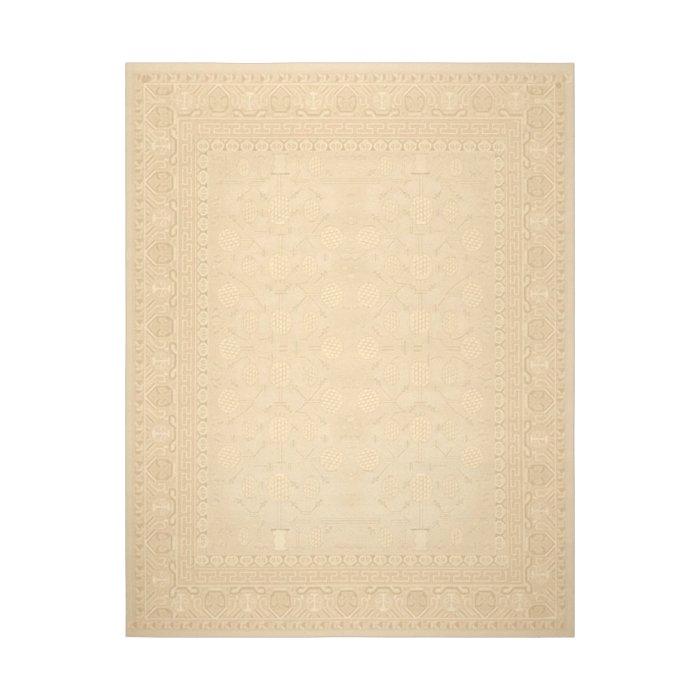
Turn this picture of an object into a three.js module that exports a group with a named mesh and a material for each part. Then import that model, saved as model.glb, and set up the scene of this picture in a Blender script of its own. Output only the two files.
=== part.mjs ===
import * as THREE from 'three';

// A hand-knotted rug lying flat. X runs across it and Y along its warps, toward the end that
// is at the top when the vases stand upright. Z is up, and the origin is under its centre.

// Driving dimensions, in millimetres
const rugWidth = 2440; // over both selvedges
const rugLength = 3120; // over both woven ends
const rugThickness = 10; // foundation and clipped pile together
const shoulderHeight = 7.5; // the pile's outer wall, before it rounds over
const shoulderDepth = 9; // the pile rounds over in this distance from its edge
const webThickness = 3; // the flat-woven end, which carries no pile
const webDepth = 6; // how far it shows past the last row of knots
const webStep = 0.4; // the pile's end wall leans back by this much
const pileDip = 0.9; // how far worn places lie below the full thickness
const outlineWander = 2.5; // how far an edge of the outline is drawn in
const selvedgeWidth = 7;
const selvedgeHeight = 7;
const fittingGap = 0.3; // between pieces that touch

// How finely the surfaces are divided
const cellsAcross = 24;
const cellsAlong = 32;
const shoulderSteps = [0, 0.3, 0.65, 1]; // shares of the shoulder's depth
const selvedgeArcSteps = 6;

const panelWidth = rugWidth - 2 * (selvedgeWidth + fittingGap);

// One closed, indexed mesh from its points and triangles.
function meshFrom(name, points, triangles, material) {
  const geometry = new THREE.BufferGeometry();
  geometry.setAttribute('position', new THREE.Float32BufferAttribute(points.flat(), 3));
  geometry.setIndex(triangles.flat());
  geometry.computeVertexNormals();
  const mesh = new THREE.Mesh(geometry, material);
  mesh.name = name;
  return mesh;
}

// How far the outline lies in from its full size at a place along one edge. An edge is
// straight for about half its length and drawn in a little elsewhere.
function drawnIn(along, span, phase) {
  const turn = (2 * Math.PI * along) / span;
  const wave = 0.65 * Math.sin(1.7 * turn + phase) + 0.35 * Math.sin(4.3 * turn + 2.1 * phase);
  return outlineWander * Math.max(0, wave);
}

// Where a point of the straight plan lies on the real rug, whose four edges wander.
function onRug(across, along) {
  const left = -rugWidth / 2 + drawnIn(along, rugLength, 0.4);
  const right = rugWidth / 2 - drawnIn(along, rugLength, 2.9);
  const near = -rugLength / 2 + drawnIn(across, rugWidth, 1.1);
  const far = rugLength / 2 - drawnIn(across, rugWidth, 3.7);
  return [
    THREE.MathUtils.lerp(left, right, across / rugWidth + 0.5),
    THREE.MathUtils.lerp(near, far, along / rugLength + 0.5),
  ];
}

// Places from one edge of the pile to the other: close together over the shoulders, even between.
function pileStations(halfSpan, cells) {
  const shoulder = shoulderSteps.map((share) => halfSpan - share * shoulderDepth);
  const inner = halfSpan - shoulderDepth;
  const even = [];
  for (let i = 1; i < cells; i += 1) {
    even.push(inner * ((2 * i) / cells - 1));
  }
  return [...shoulder.map((s) => -s), ...even, ...shoulder.reverse()];
}

// The height of the rug's top: the bare web at both ends, and elsewhere the pile, which rounds
// over at its edge and is worn a little lower in slow waves.
function topHeight(across, along) {
  const fromEnd = rugLength / 2 - webDepth - webStep - Math.abs(along);
  if (fromEnd < -webStep / 2) {
    return webThickness;
  }
  const fromSide = panelWidth / 2 - Math.abs(across);
  const share = THREE.MathUtils.clamp(Math.min(fromEnd, fromSide) / shoulderDepth, 0, 1);
  const waves = Math.sin(across / 310 + 0.8) * Math.sin(along / 420 + 0.3);
  const full = rugThickness - pileDip * (0.5 - 0.5 * waves);
  return THREE.MathUtils.lerp(shoulderHeight, full, Math.sin((share * Math.PI) / 2));
}

const panelAcross = pileStations(panelWidth / 2, cellsAcross);
const pileAlong = pileStations(rugLength / 2 - webDepth - webStep, cellsAlong);
const panelAlong = [
  -rugLength / 2,
  -rugLength / 2 + webDepth,
  ...pileAlong,
  rugLength / 2 - webDepth,
  rugLength / 2,
];

// The places in a grid of points that lie on its rim, counter-clockwise from above.
function gridRim(columns, rows) {
  const rim = [];
  for (let c = 0; c < columns - 1; c += 1) {
    rim.push(c);
  }
  for (let r = 0; r < rows - 1; r += 1) {
    rim.push(r * columns + columns - 1);
  }
  for (let c = columns - 1; c > 0; c -= 1) {
    rim.push((rows - 1) * columns + c);
  }
  for (let r = rows - 1; r > 0; r -= 1) {
    rim.push(r * columns);
  }
  return rim;
}

// The knotted panel: pile and foundation in one solid, with the bare web at both ends. Its
// top is a grid of points and its underside is flat.
function knottedPanel(material) {
  const columns = panelAcross.length;
  const rows = panelAlong.length;
  const points = [];
  const triangles = [];
  for (const along of panelAlong) {
    for (const across of panelAcross) {
      points.push([...onRug(across, along), topHeight(across, along)]);
    }
  }
  for (let r = 0; r < rows - 1; r += 1) {
    for (let c = 0; c < columns - 1; c += 1) {
      const corner = r * columns + c;
      triangles.push([corner, corner + 1, corner + columns + 1]);
      triangles.push([corner, corner + columns + 1, corner + columns]);
    }
  }

  // The rim's points have copies on the floor, which the walls and the underside join.
  const rim = gridRim(columns, rows);
  const firstBelow = points.length;
  for (const index of rim) {
    points.push([points[index][0], points[index][1], 0]);
  }
  for (let i = 0; i < rim.length; i += 1) {
    const next = (i + 1) % rim.length;
    triangles.push([rim[i], firstBelow + i, firstBelow + next]);
    triangles.push([rim[i], firstBelow + next, rim[next]]);
  }
  const outline = rim.map((index) => new THREE.Vector2(points[index][0], points[index][1]));
  for (const [a, b, c] of THREE.ShapeUtils.triangulateShape(outline, [])) {
    triangles.push([firstBelow + a, firstBelow + c, firstBelow + b]);
  }
  return meshFrom('knotted_panel', points, triangles, material);
}

// The section of a selvedge, from its foot against the panel over to its outer foot: an arch on
// a flat base. Each entry is a place across its width, from the panel outward, and a height.
function selvedgeSection() {
  const section = [];
  for (let i = 0; i <= selvedgeArcSteps; i += 1) {
    const turn = (Math.PI * i) / selvedgeArcSteps;
    const outward = 0.5 - 0.5 * Math.cos(turn);
    section.push([outward * selvedgeWidth, selvedgeHeight * (0.45 + 0.55 * Math.sin(turn))]);
  }
  return [[0, 0], ...section, [selvedgeWidth, 0]];
}

// A selvedge: edge warps overcast with wool into a cord that runs the rug's whole length.
// side is -1 for the left edge and 1 for the right one.
function selvedge(name, side, material) {
  const section = selvedgeSection();
  const points = [];
  const triangles = [];
  for (const along of panelAlong) {
    for (const [outward, height] of section) {
      const across = side * (panelWidth / 2 + fittingGap + outward);
      points.push([...onRug(across, along), height]);
    }
  }
  const count = section.length;
  const add = (a, b, c) => triangles.push(side > 0 ? [a, b, c] : [a, c, b]);
  for (let r = 0; r < panelAlong.length - 1; r += 1) {
    for (let i = 0; i < count; i += 1) {
      const next = (i + 1) % count;
      const here = r * count;
      add(here + i, here + next, here + count + next);
      add(here + i, here + count + next, here + count + i);
    }
  }
  const last = (panelAlong.length - 1) * count;
  for (let i = 1; i < count - 1; i += 1) {
    add(0, i + 1, i);
    add(last, last + i, last + i + 1);
  }
  return meshFrom(name, points, triangles, material);
}

const pileWool = new THREE.MeshStandardMaterial({
  name: 'knotted wool pile',
  color: 0xe6d1b0,
  roughness: 0.95,
  metalness: 0,
});
const selvedgeWool = new THREE.MeshStandardMaterial({
  name: 'overcast selvedge wool',
  color: 0xc9b899,
  roughness: 0.9,
  metalness: 0,
});

const group = new THREE.Group();
group.add(knottedPanel(pileWool));
group.add(selvedge('selvedge_left', -1, selvedgeWool));
group.add(selvedge('selvedge_right', 1, selvedgeWool));

export default group;
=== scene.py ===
import bpy
import numpy as np
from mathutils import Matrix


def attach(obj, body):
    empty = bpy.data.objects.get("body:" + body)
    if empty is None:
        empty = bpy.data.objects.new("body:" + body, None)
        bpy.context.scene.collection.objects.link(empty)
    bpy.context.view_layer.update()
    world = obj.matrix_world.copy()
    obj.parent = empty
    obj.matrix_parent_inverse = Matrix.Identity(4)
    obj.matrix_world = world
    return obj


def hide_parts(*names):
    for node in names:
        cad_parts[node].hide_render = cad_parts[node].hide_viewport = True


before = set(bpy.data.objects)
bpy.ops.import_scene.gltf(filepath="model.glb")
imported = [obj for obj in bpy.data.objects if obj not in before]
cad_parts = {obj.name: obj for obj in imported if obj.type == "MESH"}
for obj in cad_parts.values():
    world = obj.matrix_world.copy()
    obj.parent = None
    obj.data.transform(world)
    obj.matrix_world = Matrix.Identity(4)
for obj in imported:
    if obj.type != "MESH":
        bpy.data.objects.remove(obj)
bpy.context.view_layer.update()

# The rug's own sizes in metres, the same as its solids have
rug = {
    "width": 2.44,  # over both selvedges
    "length": 3.12,  # over both woven ends
    "thickness": 0.010,  # foundation and clipped pile
    "shoulderHeight": 0.0075,  # top of the pile's outer wall
    "shoulderDepth": 0.009,  # the pile rounds over in this distance
    "foundation": 0.003,
    "webDepth": 0.006,  # bare web past the last row of knots
    "webStep": 0.0004,
    "pileDip": 0.0009,  # how far worn places lie lower
    "wander": 0.0025,  # how far an edge is drawn in
    "selvedgeWidth": 0.007,
    "selvedgeHeight": 0.007,
    "fittingGap": 0.0003,
}
panelWidth = rug["width"] - 2 * (rug["selvedgeWidth"] + rug["fittingGap"])
pileLength = rug["length"] - 2 * (rug["webDepth"] + rug["webStep"])
edgeWaves = ((0.65, 1.7, 1), (0.35, 4.3, 2.1))  # share, turns along an edge, times the phase
edgePhases = {"left": 0.4, "right": 2.9, "near": 1.1, "far": 3.7}
wear = {"across": 0.31, "along": 0.42, "phases": (0.8, 0.3)}  # its waves: metres for each radian


def drawnIn(along, span, side):
    # An edge is straight for half its length and drawn in a little elsewhere
    turn = 2 * np.pi * along / span
    phase = edgePhases[side]
    wave = sum(share * np.sin(turns * turn + times * phase) for share, turns, times in edgeWaves)
    return rug["wander"] * np.maximum(0, wave)


def onRug(across, along):
    # Where a place of the straight plan lies on the real rug
    left = -rug["width"] / 2 + drawnIn(along, rug["length"], "left")
    right = rug["width"] / 2 - drawnIn(along, rug["length"], "right")
    near = -rug["length"] / 2 + drawnIn(across, rug["width"], "near")
    far = rug["length"] / 2 - drawnIn(across, rug["width"], "far")
    x = left + (right - left) * (across / rug["width"] + 0.5)
    y = near + (far - near) * (along / rug["length"] + 0.5)
    return x, y


def pileHeight(across, along):
    # Full in the middle, worn in slow waves, and rounded over at the edges
    fromEnd = pileLength / 2 - np.abs(along)
    fromSide = panelWidth / 2 - np.abs(across)
    share = np.clip(np.minimum(fromEnd, fromSide) / rug["shoulderDepth"], 0, 1)
    waves = np.sin(across / wear["across"] + wear["phases"][0])
    waves = waves * np.sin(along / wear["along"] + wear["phases"][1])
    full = rug["thickness"] - rug["pileDip"] * (0.5 - 0.5 * waves)
    return rug["shoulderHeight"] + (full - rug["shoulderHeight"]) * np.sin(share * np.pi / 2)


# The pile's surface is one grid of points, cut into pieces along straight lines
pile = {
    "cellsAcross": 560,
    "cellsAlong": 716,
    "shoulderSteps": (0, 0.3, 0.65, 1),
    "unevenness": 0.00012,
    "sunk": 0.0003,  # how far its underside lies in the foundation
    "seed": 7,
}


def pileLines(halfSpan, cells):
    # Close together over the shoulders, even between them
    shoulder = np.array([halfSpan - step * rug["shoulderDepth"] for step in pile["shoulderSteps"]])
    even = (halfSpan - rug["shoulderDepth"]) * (2 * np.arange(1, cells) / cells - 1)
    return np.concatenate([-shoulder, even, shoulder[::-1]])


acrossLines = pileLines(panelWidth / 2, pile["cellsAcross"])
alongLines = pileLines(pileLength / 2, pile["cellsAlong"])

# The chart of the design. Its squares are two knots by two, 5.4 mm, and are counted to the
# right and down from the top left of the weaver's sheet, with the rug's middle at chartMiddle.
squaresLong = 576
square = rug["length"] / squaresLong
chartMiddle = (350, 350)
edgeX = rug["width"] / 2 / square
edgeY = rug["length"] / 2 / square
lineX = acrossLines / square + chartMiddle[0]
lineY = chartMiddle[1] - alongLines / square

# Where each band of the design starts, in squares in from the rug's edge. The four sides
# differ by a few knots, as they do on the real one.
bandNames = (
    "edge", "plain", "outerGuard", "guardLine", "mainBorder", "paleStripe", "darkStripe",
    "fret", "fretLine", "innerGuard", "fieldLine", "field", "middle",
)
bandStarts = {
    "left": (0, 0.8, 9.6, 19.2, 20.8, 51.3, 53.8, 55.2, 69.9, 71.2, 82.6, 83.6, 300),
    "right": (0, 0.8, 10.0, 19.2, 20.6, 50.9, 53.2, 54.6, 67.7, 68.9, 79.4, 80.6, 297),
    "top": (0, 0.8, 11.4, 21.4, 22.9, 55.0, 57.4, 58.6, 74.9, 76.1, 89.0, 90.2, 307),
    "bottom": (0, 0.8, 8.2, 18.6, 20.0, 51.2, 53.6, 55.0, 69.0, 70.2, 83.4, 84.4, 302),
}
bandDepth = dict(zip(bandNames, bandStarts["left"]))  # all sides are told in the left one's squares

# Long lines lean a little on a hand-knotted rug. For each side: depths in squares, and how
# much deeper a line at that depth lies at the side's first end than it is charted.
sideLean = {
    "left": ((0, 20, 52, 70, 86), (0, -0.5, 0.8, 0.6, 0)),
    "right": ((0, 20, 52, 70, 86), (0, 0.8, 1.2, 1.2, 0)),
    "top": ((0, 22, 56, 66, 76, 92), (0, -0.4, 0.3, -0.4, -0.7, 0)),
    "bottom": ((0, 19, 52, 62, 70, 86), (0, -0.4, -0.1, -0.7, -0.5, 0)),
}


def leanAt(side, depth, along, span):
    # From the first end to the last one the lean goes over to the opposite
    depths, lean = sideLean[side]
    share = np.clip((along - (chartMiddle[0] - span)) / (2 * span), 0, 1)
    return np.interp(depth, depths, lean) * (1 - 2 * share)


straightX, straightY = np.meshgrid(lineX, lineY)
chartX = straightX - leanAt("left", straightX - chartMiddle[0] + edgeX, straightY, edgeY)
chartX = chartX + leanAt("right", chartMiddle[0] + edgeX - straightX, straightY, edgeY)
chartY = straightY - leanAt("top", straightY - chartMiddle[1] + edgeY, straightX, edgeX)
chartY = chartY + leanAt("bottom", chartMiddle[1] + edgeY - straightY, straightX, edgeX)

# A later wool covers an earlier one
woolOrder = ("mist", "sage", "blush", "tan", "pale", "peach", "rose", "leaf", "dark", "light")
outside = 6.0  # squares from any mark, as far as distances are kept
markReach = 5  # squares round a mark in which they are looked at
marks = {}
for wool in woolOrder:
    marks[wool] = (np.full(chartX.shape, outside), np.zeros(chartX.shape))


def window(line, low, high):
    inside = np.flatnonzero((line > low) & (line < high))
    if len(inside) == 0:
        return slice(0, 0)
    return slice(inside[0], inside[-1] + 1)


def mark(wool, gapAt, low, high, tone):
    # Adds a mark to one wool's map: at each place the nearest mark's distance and tone are kept
    rows = window(lineY, low[1] - markReach, high[1] + markReach)
    columns = window(lineX, low[0] - markReach, high[0] + markReach)
    part = (rows, columns)
    gap = gapAt(chartX[part], chartY[part])
    distance, strength = marks[wool]
    nearer = gap < distance[part]
    strength[part] = np.where(nearer, tone, strength[part])
    distance[part] = np.minimum(gap, distance[part])


hollowEdge = 0.4  # half the width of a hollow stroke's two edges, in squares
shortest = 1e-6  # keeps a stroke of no length from dividing by zero


def stroke(wool, points, width=1.0, tone=1.0, hollow=False):
    # A line of knots along the points, or only the two edges of it
    points = np.array(points, float)

    def gapAt(x, y):
        best = outside
        for (x0, y0), (x1, y1) in zip(points[:-1], points[1:]):
            dx = x1 - x0
            dy = y1 - y0
            share = ((x - x0) * dx + (y - y0) * dy) / max(dx * dx + dy * dy, shortest)
            share = np.clip(share, 0, 1)
            best = np.minimum(best, np.hypot(x - x0 - share * dx, y - y0 - share * dy))
        if hollow:
            return np.abs(best - width / 2 + hollowEdge) - hollowEdge
        return best - width / 2

    mark(wool, gapAt, points.min(0) - width / 2, points.max(0) + width / 2, tone)


def roundGap(x, y, centre, half, power=2.0):
    # Distance outside a rounded shape: an ellipse, or squarer with a higher power
    u = np.abs(x - centre[0]) / half[0]
    v = np.abs(y - centre[1]) / half[1]
    return ((u ** power + v ** power) ** (1 / power) - 1) * min(half)


def blob(wool, centre, half, tone=1.0, power=2.0):
    low = np.array(centre) - half
    high = np.array(centre) + half
    mark(wool, lambda x, y: roundGap(x, y, centre, half, power), low, high, tone)


def patch(wool, points, tone=1.0):
    # A filled shape with straight sides and no hollows, its points in order
    points = np.array(points, float)
    following = np.roll(points, -1, axis=0)
    area = np.sum(points[:, 0] * following[:, 1] - points[:, 1] * following[:, 0])

    def gapAt(x, y):
        worst = -outside
        for (x0, y0), (x1, y1) in zip(points, following):
            length = np.hypot(x1 - x0, y1 - y0)
            out = ((x - x0) * (y1 - y0) - (y - y0) * (x1 - x0)) / length
            worst = np.maximum(worst, out * np.sign(area))
        return worst

    mark(wool, gapAt, points.min(0), points.max(0), tone)


def ring(wool, centre, half, width=1.0, tone=1.0, power=2.0):
    low = np.array(centre) - half
    high = np.array(centre) + half
    mark(wool, lambda x, y: np.abs(roundGap(x, y, centre, half, power)) - width / 2, low, high, tone)


doubleTones = {"dark": 0.6, "light": 0.3}
doubleEdge = 1.0  # squares that a dark line takes on each side


def doubleLine(points, width):
    # Two dark lines with a light one between them
    stroke("dark", points, width, doubleTones["dark"], hollow=True)
    stroke("light", points, width - 2 * doubleEdge, doubleTones["light"])


fruitWools = {  # squares and tones
    "body": 0.9,
    "net": {"out": 0.7, "halfWidth": 0.5, "tone": 0.75},  # a dark line round each cell
    "core": {"inset": 0.45, "tone": 0.85},  # a light middle in it
    "cellPower": 2.4,
    "cellInset": 0.2,  # how far inside the fruit a cell's middle lies at least
    "rim": {"out": 0.8, "width": 0.8, "tone": 0.3},
}


def fruit(centre, half, pitch, cell, lean, power=2.0, upright=False, tone=1.0):
    # Light cells in offset rows with a dark line round each, or in offset columns where they
    # stand upright. Cells are left out where their middle is outside the fruit, which scallops
    # its outline.
    net = fruitWools["net"]
    core = fruitWools["core"]
    rim = fruitWools["rim"]

    def cellGap(x, y):
        along = x - centre[0]
        across = y - centre[1] - lean * along
        if upright:
            along, across = across, along
        row = np.floor(across / pitch[1] + 0.5)
        beside = along / pitch[0] + 0.5 * np.mod(row, 2)
        column = np.floor(beside + 0.5)
        middleAlong = (column - 0.5 * np.mod(row, 2)) * pitch[0]
        middleAcross = row * pitch[1]
        inCell = (beside - column) * pitch[0]
        gap = roundGap(inCell, across - middleAcross, (0, 0), cell, fruitWools["cellPower"])
        if upright:
            middleAlong, middleAcross = middleAcross, middleAlong
        middleGap = roundGap(middleAlong, middleAcross + lean * middleAlong, (0, 0), half, power)
        return np.where(middleGap < -fruitWools["cellInset"], gap, outside)

    def netGap(x, y):
        return np.abs(cellGap(x, y) - net["out"]) - net["halfWidth"]

    def coreGap(x, y):
        return cellGap(x, y) + core["inset"]

    low = np.array(centre) - half - 1
    high = np.array(centre) + half + 1
    blob("peach", centre, half, fruitWools["body"] * tone, power)
    mark("dark", netGap, low, high, net["tone"])
    mark("light", coreGap, low, high, core["tone"] * tone)
    ring("dark", centre, (half[0] + rim["out"], half[1] + rim["out"]), rim["width"], rim["tone"], power)


sides = ("left", "right", "top", "bottom")


def tellDepths(x, y):
    # How deep a place of the chart lies from each side, in the left side's squares
    depths = {
        "left": x - chartMiddle[0] + edgeX,
        "right": chartMiddle[0] + edgeX - x,
        "top": y - chartMiddle[1] + edgeY,
        "bottom": chartMiddle[1] + edgeY - y,
    }
    return [np.interp(depths[side], bandStarts[side], bandStarts["left"]) for side in sides]


told = tellDepths(chartX, chartY)
band = np.min(told, axis=0)
nearestSide = np.argmin(told, axis=0)


def bandLine(wool, depth, width, tone, along=sides):
    # A thin line that runs at one depth round the whole rug, or along some of its sides
    distance, strength = marks[wool]
    gap = np.abs(band - depth) - width / 2
    nearer = (gap < distance) & np.isin(nearestSide, [sides.index(side) for side in along])
    strength[nearer] = tone
    distance[nearer] = gap[nearer]


bandLines = (  # wool, the band it belongs to, squares in from its start, width, tone, sides
    ("dark", "plain", 6.6, 0.9, 0.5, ("left",)),
    ("dark", "plain", 6.6, 0.8, 0.15, ("right", "top", "bottom")),
    ("tan", "plain", 7.9, 1.1, 0.5, sides),
    ("dark", "outerGuard", 0.6, 1.1, 0.55, ("right",)),
    ("dark", "outerGuard", 0.3, 0.9, 0.35, ("left", "top", "bottom")),
    ("dark", "guardLine", -0.5, 1.0, 0.25, sides),
    ("light", "guardLine", 0.7, 1.2, 0.55, sides),
    ("light", "paleStripe", 1.2, 1.7, 0.5, sides),
    ("dark", "darkStripe", 0.7, 1.3, 0.3, sides),
    ("dark", "fretLine", -0.4, 1.1, 0.3, ("left", "bottom")),
    ("light", "fretLine", 0.6, 1.0, 0.75, sides),
    ("dark", "innerGuard", 0.7, 1.3, 0.3, sides),
    ("dark", "fieldLine", -0.9, 1.1, 0.45, sides),
    ("light", "fieldLine", 0.5, 0.9, 0.35, sides),
    ("rose", "field", 0.9, 1.4, 0.4, sides),
)
for wool, name, into, width, tone, along in bandLines:
    bandLine(wool, bandDepth[name] + into, width, tone, along)

# Motifs of the main border, drawn with the rug's edge above: squares along and squares down
# from the motif's centre. Each is drawn on both sides of its centre line.
medallion = {
    "body": ("tan", 9.4, 1.5, 11, 3.0),  # wool, half along, down, half down, power
    "lines": (
        ("dark", 1.2, 1.0, ((0, -14.3), (8.8, -5.8), (9.4, -4.5), (9.3, 6.2), (6, 10.4))),
        ("dark", 1.6, 1.0, ((0, 10.6), (5.6, 10.6))),
        ("light", 1.5, 0.9, ((0, -16.4), (1.5, -15.6), (10.8, -5.8))),
        ("light", 0.8, 0.4, ((11, -5), (10.9, 7.4), (6.6, 12.2))),
        ("light", 2.4, 0.7, ((0, 13.2), (5.6, 13.2))),
        ("dark", 0.7, 0.35, ((0, 15.5), (5.4, 15.5))),
        ("dark", 1.3, 0.9, ((3.8, -15.4), (12.2, -6.8))),
        ("light", 0.8, 0.5, ((8, -14.2), (14.5, -7.8))),
        ("dark", 0.8, 0.4, ((9.8, -14.2), (16, -8.2), (16.6, -4))),
        ("light", 1.1, 0.85, (
            (11.8, -13.2), (18.6, -6), (19.9, -4), (19.9, 0.8), (18.6, 3.2), (15, 3.8),
            (14, 3), (14, -2.6),
        )),
        ("dark", 1.0, 0.5, ((17, -3.4), (17.3, 1))),
        ("dark", 1.0, 0.45, ((21.8, -3), (22, 2.2), (20, 5.2), (14, 6))),
        ("light", 1.0, 0.7, ((15.6, -14.4), (24.3, -5.6))),
        ("dark", 1.4, 0.95, ((17.8, -15.2), (25, -7.6))),
        ("light", 1.0, 0.7, ((20.2, -15.6), (26, -9.4))),
        ("light", 2.2, 0.9, ((21.6, 3.8), (21.2, 6.2))),
        ("light", 0.9, 0.6, (
            (9, 10.6), (11.5, 9.3), (14, 10.8), (14.3, 14), (12, 15.8), (9.7, 14.6),
        )),
        ("dark", 0.9, 0.4, ((10.4, 12.2), (12.6, 12), (12.8, 14), (10.9, 14.4))),
        ("dark", 1.8, 0.8, ((8, -4.2), (5.2, -4.5), (2.6, -1.8))),
        ("dark", 2.2, 0.8, ((8.4, 5.2), (6.6, 7.8))),
        ("dark", 1.1, 0.65, ((3.9, 1.8), (2.9, 4.4), (5, 6.9))),
        ("light", 0.9, 0.5, ((4, -0.4), (5.8, -2.2), (7.6, -0.4), (7.4, 1.6))),
        ("light", 1.4, 0.4, ((5.2, 3.6), (5.4, 4.8))),
        ("light", 0.7, 0.3, ((0, -1.5), (1.8, 0.6))),
    ),
}
flower = {
    "body": ("pale", 9, -0.5, 9.5, 2.2),
    "lines": (
        ("dark", 1.6, 1.0, (
            (11.6, 14.5), (14.4, 14.9), (16.8, 13.2), (17.6, 10.4), (16, 8.4), (10.6, 8.4),
            (8.6, 9.8), (5.6, 13.8),
        )),
        ("dark", 1.9, 1.0, ((0, 14.1), (5.4, 14.1))),
        ("light", 2.6, 0.8, ((11.4, 11.7), (14, 11.5))),
        ("light", 1.6, 0.8, ((9.4, 12.6), (7.6, 15.6))),
        ("light", 1.2, 0.6, ((0, 11.2), (5.4, 11.2))),
        ("dark", 0.9, 0.4, ((0, 9.3), (5, 9.2))),
        ("light", 2.6, 0.9, ((0, -7.6), (2.2, -7.6))),
        ("light", 1.7, 0.85, ((0, -6), (0, 6))),
        ("light", 2.0, 0.8, ((0, 7.3), (2.4, 7.6))),
        ("dark", 1.1, 0.6, ((0.9, 1), (1.4, -1.5), (4.2, -5.4))),
        ("dark", 0.9, 0.5, ((2.2, 0), (4.5, -2.2), (6.4, -2.5))),
        ("light", 1.0, 0.7, ((1.9, 1.2), (4, -0.6), (6.5, -0.6), (7.2, 1.8))),
        ("dark", 0.9, 0.45, ((2.2, 2.6), (5.6, 1.4))),
        ("light", 0.9, 0.5, ((2.6, 4.2), (6.6, 2.6))),
        ("dark", 0.7, 0.35, ((5, -8.6), (8.8, -5), (9.6, 1), (8, 7), (5, 9.2))),
        ("dark", 1.5, 0.85, ((5, -15.2), (2.8, -12.6))),
        ("light", 1.2, 0.7, ((7, -14.2), (4.8, -11.8))),
    ),
}
mainBorder = {
    "centreLine": {"top": 101.0, "bottom": 602.2, "left": 161.3, "right": 539.2},
    "medallions": {
        "top": (218.4, 280.6, 346.5, 414.7, 482.6),
        "bottom": (214.7, 280.1, 347.3, 416.7, 484.9),
        "left": (85, 117.2, 182.2, 253.2, 326.6, 396.4, 469.5, 543, 618.5),
        "right": (84, 117.2, 186, 256.9, 329.6, 400.8, 475, 544, 616),
    },
    "flowers": {
        "top": (183.9, 249.6, 313.7, 382, 449.5, 517),
        "bottom": (181, 247.4, 314.3, 383.2, 451.4, 518.6),
        "left": (146.6, 218.2, 288.6, 360.9, 433.6, 507, 579.4),
        "right": (149.4, 221.2, 293.6, 364.8, 438.9, 511, 575),
    },
    "stretch": {"top": 1.0, "bottom": 1.02, "left": 1.05, "right": 1.06},
    "cuts": {  # at the corners: what is left of a motif, in squares along from its centre
        ("left", 85): (0.5, 16), ("left", 117.2): (-14.5, 40), ("left", 618.5): (-40, -0.3),
        ("right", 84): (0.5, 16), ("right", 117.2): (-15.5, 40), ("right", 616): (-40, 2.2),
        ("top", 183.9): (-7.5, 40), ("top", 517): (-40, 7.5),
        ("bottom", 181): (-6.5, 40), ("bottom", 518.6): (-40, 6.8),
    },
    "flowerBody": 0.5,
    "strength": {"top": 0.68, "bottom": 0.82, "left": 0.84, "right": 0.8},
    "bodyTones": {  # some medallions took the brown dye better than others
        "top": (0.05, 0.15, 0.12, 0.05, 0.1),
        "bottom": (0.05, 0.42, 0.15, 0.55, 0.22),
        "left": (0.5, 0.22, 0.2, 0.45, 0.35, 0.15, 0.3, 0, 0.2),
        "right": (0.5, 0.12, 0.15, 0.15, 0.1, 0.15, 0.32, 0.05, 0.7),
    },
}

wholeMotif = (-40, 40)  # squares along from its centre, more than any motif has


def onSide(side, centre, line, stretch, along, down):
    # A motif's square on the chart, from its place on one side of the rug
    if side == "top":
        return (centre + along * stretch, line + down)
    if side == "bottom":
        return (centre + along * stretch, line - down)
    if side == "left":
        return (line + down, centre + along * stretch)
    return (line - down, centre + along * stretch)


def drawMotif(motif, side, centre, line, stretch, low, high):
    # Both halves of a motif, without what lies outside low and high along the side
    for wool, width, tone, points in motif["lines"]:
        for mirror in (1, -1):
            both = [(mirror * a, d) for a, d in points]
            kept = [(min(max(a, low), high), d) for a, d in both]
            if sum(low <= a <= high for a, d in both) * 2 < len(both):
                continue
            placed = [onSide(side, centre, line, stretch, a, d) for a, d in kept]
            stroke(wool, placed, width, tone * mainBorder["strength"][side])


def drawBody(motif, side, centre, line, stretch, low, high, tone):
    # The soft ground inside a motif
    wool, halfAlong, down, halfDown, power = motif["body"]
    start = max(-halfAlong, low)
    end = min(halfAlong, high)
    half = ((end - start) / 2 * stretch, halfDown)
    if side in ("left", "right"):
        half = half[::-1]
    blob(wool, onSide(side, centre, line, stretch, (start + end) / 2, down), half, tone, power)


for side, line in mainBorder["centreLine"].items():
    stretch = mainBorder["stretch"][side]
    for centre, bodyTone in zip(mainBorder["medallions"][side], mainBorder["bodyTones"][side]):
        low, high = mainBorder["cuts"].get((side, centre), wholeMotif)
        drawMotif(medallion, side, centre, line, stretch, low, high)
        drawBody(medallion, side, centre, line, stretch, low, high, bodyTone)
    for centre in mainBorder["flowers"][side]:
        low, high = mainBorder["cuts"].get((side, centre), wholeMotif)
        drawMotif(flower, side, centre, line, stretch, low, high)
        drawBody(flower, side, centre, line, stretch, *wholeMotif, mainBorder["flowerBody"])
print("main border charted")

repeatNumbers = range(-8, 40)  # more repeats than any side has


def repeatStarts(places, low, high):
    # Repeats are not quite even on a hand-knotted rug: along each side, the squares at which
    # some of the repeats start are known, by their number
    numbers = np.array(sorted(places))
    found = np.array([places[n] for n in numbers])
    firstPitch = (found[1] - found[0]) / (numbers[1] - numbers[0])
    lastPitch = (found[-1] - found[-2]) / (numbers[-1] - numbers[-2])
    starts = []
    for n in repeatNumbers:
        if n < numbers[0]:
            start = found[0] + (n - numbers[0]) * firstPitch
        elif n > numbers[-1]:
            start = found[-1] + (n - numbers[-1]) * lastPitch
        else:
            start = np.interp(n, numbers, found)
        if low <= start <= high:
            starts.append(start)
    return starts


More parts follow.
